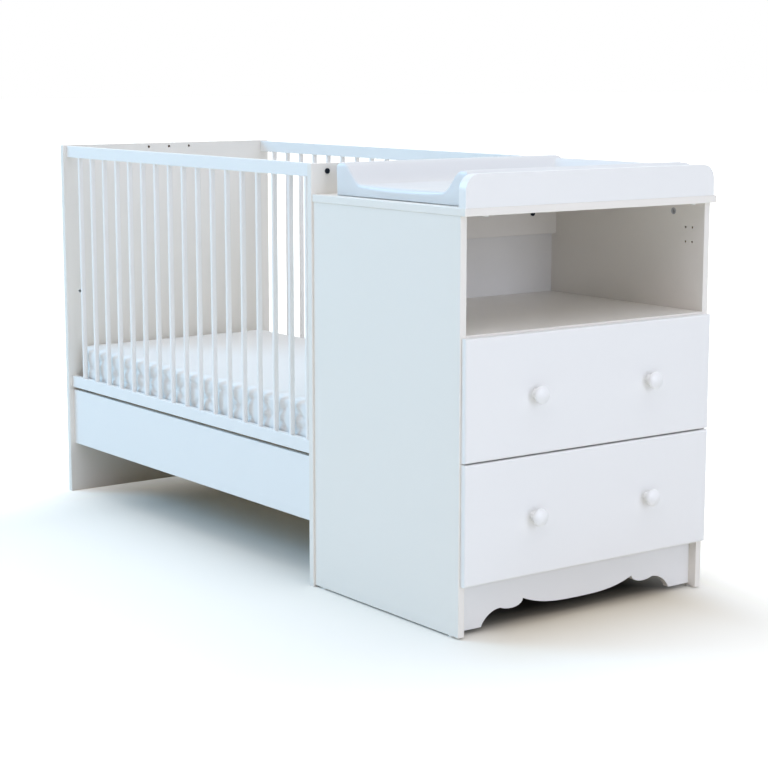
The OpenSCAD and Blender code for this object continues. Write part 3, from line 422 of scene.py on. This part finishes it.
body = bmesh.new()
bmesh.ops.create_cube(body, size=1.0)
bmesh.ops.scale(body, vec=size + TAKE_UP, verts=body.verts)
upright = [e for e in body.edges if abs(e.verts[0].co.z - e.verts[1].co.z) > size.z / 2]
bmesh.ops.bevel(
    body, geom=upright, offset=CORNER_RADIUS, segments=6, profile=0.5, affect="EDGES", material=-1
)
rims = [
    e
    for e in body.edges
    if e.verts[0].co.z * e.verts[1].co.z > 0
    and abs(e.link_faces[0].normal.z - e.link_faces[1].normal.z) > 0.5
]
bmesh.ops.bevel(
    body, geom=rims, offset=RIM_RADIUS, segments=5, profile=0.5, affect="EDGES", material=-1
)
bmesh.ops.translate(body, vec=centre, verts=body.verts)
print("mattress form:", len(body.faces), "faces")

# %% [markdown]
# The cover is woven cotton. Its threads are far finer than a pixel, so the
# weave is drawn at about 2 mm, with two crossing bands in the Bump node. A Wave
# texture of scale 1 has 20 / tau bands to the metre.

# %% Woven cover
WEAVE_MM = 1.9635
BANDS_AT_SCALE_1 = 20 / math.tau
cotton, tree, place, shader = new_finish("woven_cotton", "#ECEBE8", 0.85)
bands = []
for direction in ("X", "Y"):
    band = add_node(
        tree,
        "ShaderNodeTexWave",
        {
            "Vector": place,
            "Scale": 1000 / WEAVE_MM / BANDS_AT_SCALE_1,
            "Distortion": 0.6,
            "Detail": 1.0,
        },
        bands_direction=direction,
    )
    bands.append(band.outputs["Fac"])
weave = add_node(tree, "ShaderNodeMath", {0: bands[0], 1: bands[1]}, operation="MULTIPLY")
bump = add_node(
    tree, "ShaderNodeBump", {"Height": weave.outputs[0], "Distance": 1.5e-4, "Strength": 0.7}
)
tree.links.new(bump.outputs["Normal"], shader.inputs["Normal"])
shader.inputs["Sheen Weight"].default_value = 0.25
vary_colour(tree, place, shader, patch_mm=200, dark="#EAE9E6", light="#EFEEEB")

mattress = new_piece("quilted_mattress", body, cotton)
remesh(mattress, voxel=0.007)
inflate(mattress, pressure=3.0, cap=0.004)
print("mattress skin:", len(mattress.data.polygons), "faces")

# %% [markdown]
# The border seams form lozenges 150 mm wide. A point's place along the border
# is counted in lozenges, and its distance to the nearest slanted seam says how
# far it is drawn in along its own normal: most on a seam, and nothing in the
# middle of a lozenge. The seams fade out towards the border's top and bottom.
# The underside is kept just clear of the base's slats.

# %% Quilted border
LOZENGE = 0.150
SEAM_HALF_WIDTH = 0.014
SEAM_DEPTH = 0.010
SLANT = 0.7
UPRIGHT_ENOUGH = 0.6
FADE_STEEPNESS = 8
CLEAR_BELOW = 0.0002
BELOW_BORDER, ABOVE_BORDER = 0.014, 0.020
border_low, border_high = low.z + BELOW_BORDER, high.z - ABOVE_BORDER


def border_place(co):
    if abs(co.y - centre.y) / size.y > abs(co.x - centre.x) / size.x:
        return (co.x - low.x) / LOZENGE
    return (co.y - low.y) / LOZENGE


def seam_pull(u, v):
    reach = 1.0
    for offset in (v, -v):
        gap = abs((u + offset + 0.5) % 1.0 - 0.5) * LOZENGE * SLANT
        reach = min(reach, gap / SEAM_HALF_WIDTH)
    return (1 - reach) ** 2 if reach < 1 else 0.0


drawn_in = 0
for vertex in mattress.data.vertices:
    vertex.co.z = max(vertex.co.z, low.z + CLEAR_BELOW)
    if abs(vertex.normal.z) < UPRIGHT_ENOUGH and border_low < vertex.co.z < border_high:
        v = (vertex.co.z - border_low) / (border_high - border_low)
        fade = min(1.0, FADE_STEEPNESS * v, FADE_STEEPNESS * (1 - v))
        pull = seam_pull(border_place(vertex.co), v) * fade
        vertex.co -= Vector((vertex.normal.x, vertex.normal.y, 0)) * pull * SEAM_DEPTH
        drawn_in += pull > 0
print("border points drawn in:", drawn_in)

smooth = mattress.modifiers.new("Smooth skin", "SUBSURF")
smooth.levels = smooth.render_levels = 1
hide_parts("mattress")
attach(mattress, "crib_and_cabinet")

# %% [markdown]
# ## The changing mat
# Soft foam in wipe-clean vinyl: a bolster on each long side, a third one
# across the head end, and a dip between them that is open at the foot. A
# height for each place on the mat says all of this: a smooth fall from the
# bolster's crest to the dip, and a rounded drop at the outer edges.

# %% Outline of the mat
mat_low, mat_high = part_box("changing_mat")
mat_size = mat_high - mat_low
DIP_H, HEAD_H = 0.026, 0.067
CREST, SLOPE = 0.024, 0.060
LONG_EDGE, FOOT_EDGE = 0.012, 0.005
print("mat space:", [round(x, 4) for x in mat_size])


def smooth_step(t):
    t = max(0.0, min(1.0, t))
    return t * t * (3 - 2 * t)


def bolster(distance, height):
    return DIP_H + (height - DIP_H) * (1 - smooth_step((distance - CREST) / SLOPE))


def edge_drop(distance, radius):
    gap = max(0.0, radius - distance)
    return radius - math.sqrt(radius**2 - gap**2)


def mat_height(x, y):
    side, head = min(x, mat_size.x - x), mat_size.y - y
    height = max(bolster(side, mat_size.z), bolster(head, HEAD_H))
    return height - max(edge_drop(min(side, head), LONG_EDGE), edge_drop(y, FOOT_EDGE))


# %% [markdown]
# A grid is raised to those heights. Its lines are drawn together near the
# edges, where the vinyl turns over most sharply. The sides and the foot stand
# upright, and the underside stays flat on the changing top. The form is made a
# little smaller than its space, because it swells.

# %% Mat body
DRAWN_TO_EDGES = 0.72
LEAST_HEIGHT = 0.008
ROOM_TO_SWELL = Vector((0.004, 0.004, 0.003))
mat = bmesh.new()
bmesh.ops.create_grid(mat, x_segments=86, y_segments=114, size=0.5)
bmesh.ops.translate(mat, vec=(0.5, 0.5, 0), verts=mat.verts)
for vertex in mat.verts:
    for axis in (0, 1):
        t = vertex.co[axis]
        t -= DRAWN_TO_EDGES * math.sin(math.tau * t) / math.tau
        vertex.co[axis] = mat_size[axis] * t
raised = bmesh.ops.extrude_face_region(mat, geom=list(mat.faces))["geom"]
for vertex in (g for g in raised if isinstance(g, bmesh.types.BMVert)):
    vertex.co.z = max(LEAST_HEIGHT, mat_height(vertex.co.x, vertex.co.y))
walls = [e for e in mat.edges if min(v.co.z for v in e.verts) == 0 < max(v.co.z for v in e.verts)]
bmesh.ops.subdivide_edges(mat, edges=walls, cuts=9, use_grid_fill=True)
bmesh.ops.recalc_face_normals(mat, faces=mat.faces)
smaller = Matrix.Diagonal([1 - r / s for r, s in zip(ROOM_TO_SWELL, mat_size)] + [1])
half = Matrix.Translation((mat_size.x / 2, mat_size.y / 2, 0))
bmesh.ops.transform(mat, matrix=half @ smaller @ half.inverted(), verts=mat.verts)
bmesh.ops.translate(mat, vec=mat_low, verts=mat.verts)
print("mat form:", len(mat.faces), "faces")

# %% [markdown]
# Soft vinyl has a fine leather-like grain and a silky shine: brighter than
# cloth, duller than gloss paint. The grain is drawn at 2 mm.

# %% Vinyl skin
vinyl, tree, place, shader = new_finish("satin_vinyl", "#E2E2E1", 0.36, ior=1.52)
add_relief(tree, place, shader, grain_mm=2.0, height_um=35, detail=3.0)
vary_roughness(tree, place, shader, patch_mm=50, low=0.32, high=0.42)
vary_colour(tree, place, shader, patch_mm=300, dark="#E0E0DF", light="#E4E4E3")

changing_mat = new_piece("padded_changing_mat", mat, vinyl)
inflate(changing_mat, pressure=2.5, cap=0.002, frames=12)
for vertex in changing_mat.data.vertices:
    vertex.co.z = max(vertex.co.z, mat_low.z + CLEAR_BELOW)
smooth = changing_mat.modifiers.new("Smooth skin", "SUBSURF")
smooth.levels = smooth.render_levels = 1
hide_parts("changing_mat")
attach(changing_mat, "crib_and_cabinet")
print("mat skin:", len(changing_mat.data.polygons), "faces")

# %% [markdown]
# ## The studio
# The photo was taken on a seamless pale floor, whose far part fades to pure
# white. Here the floor is a large pale plane that keeps the soft shadows. For
# the rays that the camera sends out it also gets brighter with its distance
# from the object, quickly to the right, where the white begins close by, and
# slowly along the crib. The light that it throws back on the object stays the
# same. That distance comes from two slopes, one for each pair of sides, each
# given as its steepness along X and Y and where it starts.

# %% Distance from the object
floor_finish, tree, place, shader = new_finish("studio_floor", "#EBE8E0", 0.9)
shader.inputs["Specular IOR Level"].default_value = 0.0
FRONT_AND_RIGHT = {1: (0.56, 1.65, 0.0), 2: (-0.40, -0.34, 0.0)}
BACK_AND_LEFT = {1: (-1.31, -0.34, 0.0), 2: (-0.75, -0.02, 0.0)}
GLOW = 0.9
ahead = add_node(
    tree, "ShaderNodeVectorMath", {0: place, **FRONT_AND_RIGHT}, operation="MULTIPLY_ADD"
)
behind = add_node(
    tree, "ShaderNodeVectorMath", {0: place, **BACK_AND_LEFT}, operation="MULTIPLY_ADD"
)
away = add_node(
    tree, "ShaderNodeVectorMath", {0: ahead.outputs[0], 1: behind.outputs[0]}, operation="MAXIMUM"
)
away = add_node(
    tree, "ShaderNodeVectorMath", {0: away.outputs[0], 1: (0.0, 0.0, 0.0)}, operation="MAXIMUM"
)
distance = add_node(tree, "ShaderNodeVectorMath", {0: away.outputs[0]}, operation="LENGTH")
fade = add_node(
    tree,
    "ShaderNodeMapRange",
    {"Value": distance.outputs["Value"], "To Max": GLOW},
    interpolation_type="SMOOTHSTEP",
)
rays = add_node(tree, "ShaderNodeLightPath")
glow = add_node(
    tree,
    "ShaderNodeMath",
    {0: fade.outputs["Result"], 1: rays.outputs["Is Camera Ray"]},
    operation="MULTIPLY",
)
tree.links.new(glow.outputs[0], shader.inputs["Emission Strength"])
shader.inputs["Emission Color"].default_value = linear("#F4F6F4")
print("glow slopes:", FRONT_AND_RIGHT[1], BACK_AND_LEFT[1])

# %% [markdown]
# In front of the drawers the shadow is beige, so a painted beige shadow tints
# the floor there. Under the cabinet, closed on three sides, it is nearly black.
# The light alone leaves it paler than that, so a painted shadow, a dark tone
# with soft edges, is mixed in.

# %% Floor colour with painted shadows
TO_FAR_CORNER = (1.0, 1.5, 0.0)
CABINET_FROM, CABINET_TO = 0.25, 0.60
PAINTED_SHADOW_REACH = 0.28
along = add_node(
    tree, "ShaderNodeVectorMath", {0: place, 1: TO_FAR_CORNER}, operation="DOT_PRODUCT"
)
cabinet_end = add_node(
    tree,
    "ShaderNodeMapRange",
    {"Value": along.outputs["Value"], "From Min": CABINET_FROM, "From Max": CABINET_TO},
    interpolation_type="SMOOTHSTEP",
)
close_by = add_node(
    tree,
    "ShaderNodeMapRange",
    {
        "Value": distance.outputs["Value"],
        "From Max": PAINTED_SHADOW_REACH,
        "To Min": 1.0,
        "To Max": 0.0,
    },
    interpolation_type="SMOOTHSTEP",
)
# Painted beige shadow: close to the cabinet's front, the floor's colour turns beige.
painted_beige_shadow = add_node(
    tree,
    "ShaderNodeMath",
    {0: cabinet_end.outputs["Result"], 1: close_by.outputs["Result"]},
    operation="MULTIPLY",
)
floor_and_painted_beige_shadow = add_node(
    tree,
    "ShaderNodeMix",
    {"Factor": painted_beige_shadow.outputs[0], "A": linear("#EBE8E0"), "B": linear("#DACDB6")},
    data_type="RGBA",
)
# Painted shadow: a box under the cabinet where the floor is dark grey-brown, soft at its edges.
PAINTED_SHADOW_MIDDLE = (0.57, 0.0, 0.0)
PAINTED_SHADOW_HALF = (0.23, 0.28, 0.0)
PAINTED_SHADOW_SOFT = 0.06
under = add_node(tree, "ShaderNodeVectorMath", {0: place, 1: PAINTED_SHADOW_MIDDLE}, operation="SUBTRACT")
under = add_node(tree, "ShaderNodeVectorMath", {0: under.outputs[0]}, operation="ABSOLUTE")
under = add_node(
    tree, "ShaderNodeVectorMath", {0: under.outputs[0], 1: PAINTED_SHADOW_HALF}, operation="SUBTRACT"
)
under = add_node(tree, "ShaderNodeSeparateXYZ", {0: under.outputs[0]})
under = add_node(
    tree, "ShaderNodeMath", {0: under.outputs["X"], 1: under.outputs["Y"]}, operation="MAXIMUM"
)
outside_painted_shadow = add_node(
    tree,
    "ShaderNodeMapRange",
    {"Value": under.outputs[0], "From Min": -PAINTED_SHADOW_SOFT, "From Max": PAINTED_SHADOW_SOFT},
    interpolation_type="SMOOTHSTEP",
)
# Under the cabinet the floor takes the painted shadow's dark tone.
floor_with_painted_shadows = add_node(
    tree,
    "ShaderNodeMix",
    {"Factor": outside_painted_shadow.outputs["Result"], "A": linear("#55524A"), "B": floor_and_painted_beige_shadow.outputs["Result"]},
    data_type="RGBA",
)
tree.links.new(floor_with_painted_shadows.outputs["Result"], shader.inputs["Base Color"])

# %% [markdown]
# The plane itself is so large that its far edge melts into the white world.

# %% Floor plane
FLOOR_HALF_WIDTH = 60.0
floor = bmesh.new()
bmesh.ops.create_grid(floor, x_segments=1, y_segments=1, size=FLOOR_HALF_WIDTH)
studio_floor = new_piece("studio_floor", floor, floor_finish, smooth=False)
print("the floor is", 2 * FLOOR_HALF_WIDTH, "m wide")

# %% [markdown]
# The world is a soft studio ceiling, brightest overhead. It lights the object
# at a plain level, while every ray from the camera, or one that comes from a
# mirror-like or clear surface, sees plain white.

# %% World
CEILING = 2.33
CEILING_FALLOFF = 3.0
world = bpy.data.worlds.new("white_studio")
bpy.context.scene.world = world
world.use_nodes = True
tree = world.node_tree
tree.nodes.clear()
direction = add_node(tree, "ShaderNodeTexCoord").outputs["Generated"]
height = add_node(tree, "ShaderNodeSeparateXYZ", {0: direction}).outputs["Z"]
above = add_node(tree, "ShaderNodeMath", {0: height, 1: 0.0}, operation="MAXIMUM")
overhead = add_node(
    tree, "ShaderNodeMath", {0: above.outputs[0], 1: CEILING_FALLOFF}, operation="POWER"
)
level = add_node(tree, "ShaderNodeMath", {0: overhead.outputs[0], 1: CEILING}, operation="MULTIPLY")
ceiling = add_node(
    tree, "ShaderNodeBackground", {"Color": linear("#F2F7FF"), "Strength": level.outputs[0]}
)
white = add_node(tree, "ShaderNodeBackground", {"Color": linear("#FFFFFF"), "Strength": 1.0})
rays = add_node(tree, "ShaderNodeLightPath")
seen = add_node(
    tree,
    "ShaderNodeMath",
    {0: rays.outputs["Is Camera Ray"], 1: rays.outputs["Is Glossy Ray"]},
    operation="MAXIMUM",
)
seen = add_node(
    tree,
    "ShaderNodeMath",
    {0: seen.outputs[0], 1: rays.outputs["Is Transmission Ray"]},
    operation="MAXIMUM",
)
both = add_node(
    tree,
    "ShaderNodeMixShader",
    {0: seen.outputs[0], 1: ceiling.outputs[0], 2: white.outputs[0]},
)
add_node(tree, "ShaderNodeOutputWorld", {"Surface": both.outputs[0]})
print("the world is white to the camera")

# %% [markdown]
# Three big soft boxes shape the object. All stand far off, so that the light
# hardly weakens from the near end to the far one. A cool one on the left
# gives the slatted side its faint blue, a low one in front lights the drawer
# fronts and reaches the back of the niche, and a weak one beside the camera
# fills in. Each place is given by its compass angle from +X and its height
# angle, as a photographer would walk round the object.

# %% Lamps
LIT_POINT = Vector((0.0, 0.0, 0.5))


def soft_box(name, angle, height_angle, distance, width, power, colour):
    lamp = bpy.data.lights.new(name, "AREA")
    lamp.shape = "SQUARE"
    lamp.size = width
    lamp.energy = power
    lamp.color = linear(colour)[:3]
    box = bpy.data.objects.new(name, lamp)
    bpy.context.scene.collection.objects.link(box)
    turn, lift = math.radians(angle), math.radians(height_angle)
    across = math.cos(lift)
    towards = Vector((across * math.cos(turn), across * math.sin(turn), math.sin(lift)))
    box.location = LIT_POINT + towards * distance
    box.rotation_euler = towards.to_track_quat("Z", "Y").to_euler()


soft_box("cool_left_box", -138, 24, 12.0, 5.0, 750, "#94D4FF")
soft_box("front_box", 2, 12, 14.0, 7.0, 642, "#E1E9FF")
soft_box("fill_box", -55, 35, 12.0, 5.0, 122, "#FBEFFF")

# %% [markdown]
# ## The camera
# The photo's straight edges give its viewpoint: about 5 m from the crib and
# 1.16 m above the floor, looking a little down, with a lens of about 91 mm.

# %% Camera
LOOKS_DOWN, TURNED = 9.271, 53.827
lens = bpy.data.cameras.new("camera")
lens.sensor_width = 36
lens.lens = 91.11
lens.clip_end = 200
camera = bpy.data.objects.new("camera", lens)
bpy.context.scene.collection.objects.link(camera)
camera.location = (3.8681, -2.7347, 1.1584)
camera.rotation_euler = (math.radians(90 - LOOKS_DOWN), 0, math.radians(TURNED))
bpy.context.scene.camera = camera
bpy.context.scene.view_settings.view_transform = "Standard"
print("camera at", [round(x, 3) for x in camera.location])
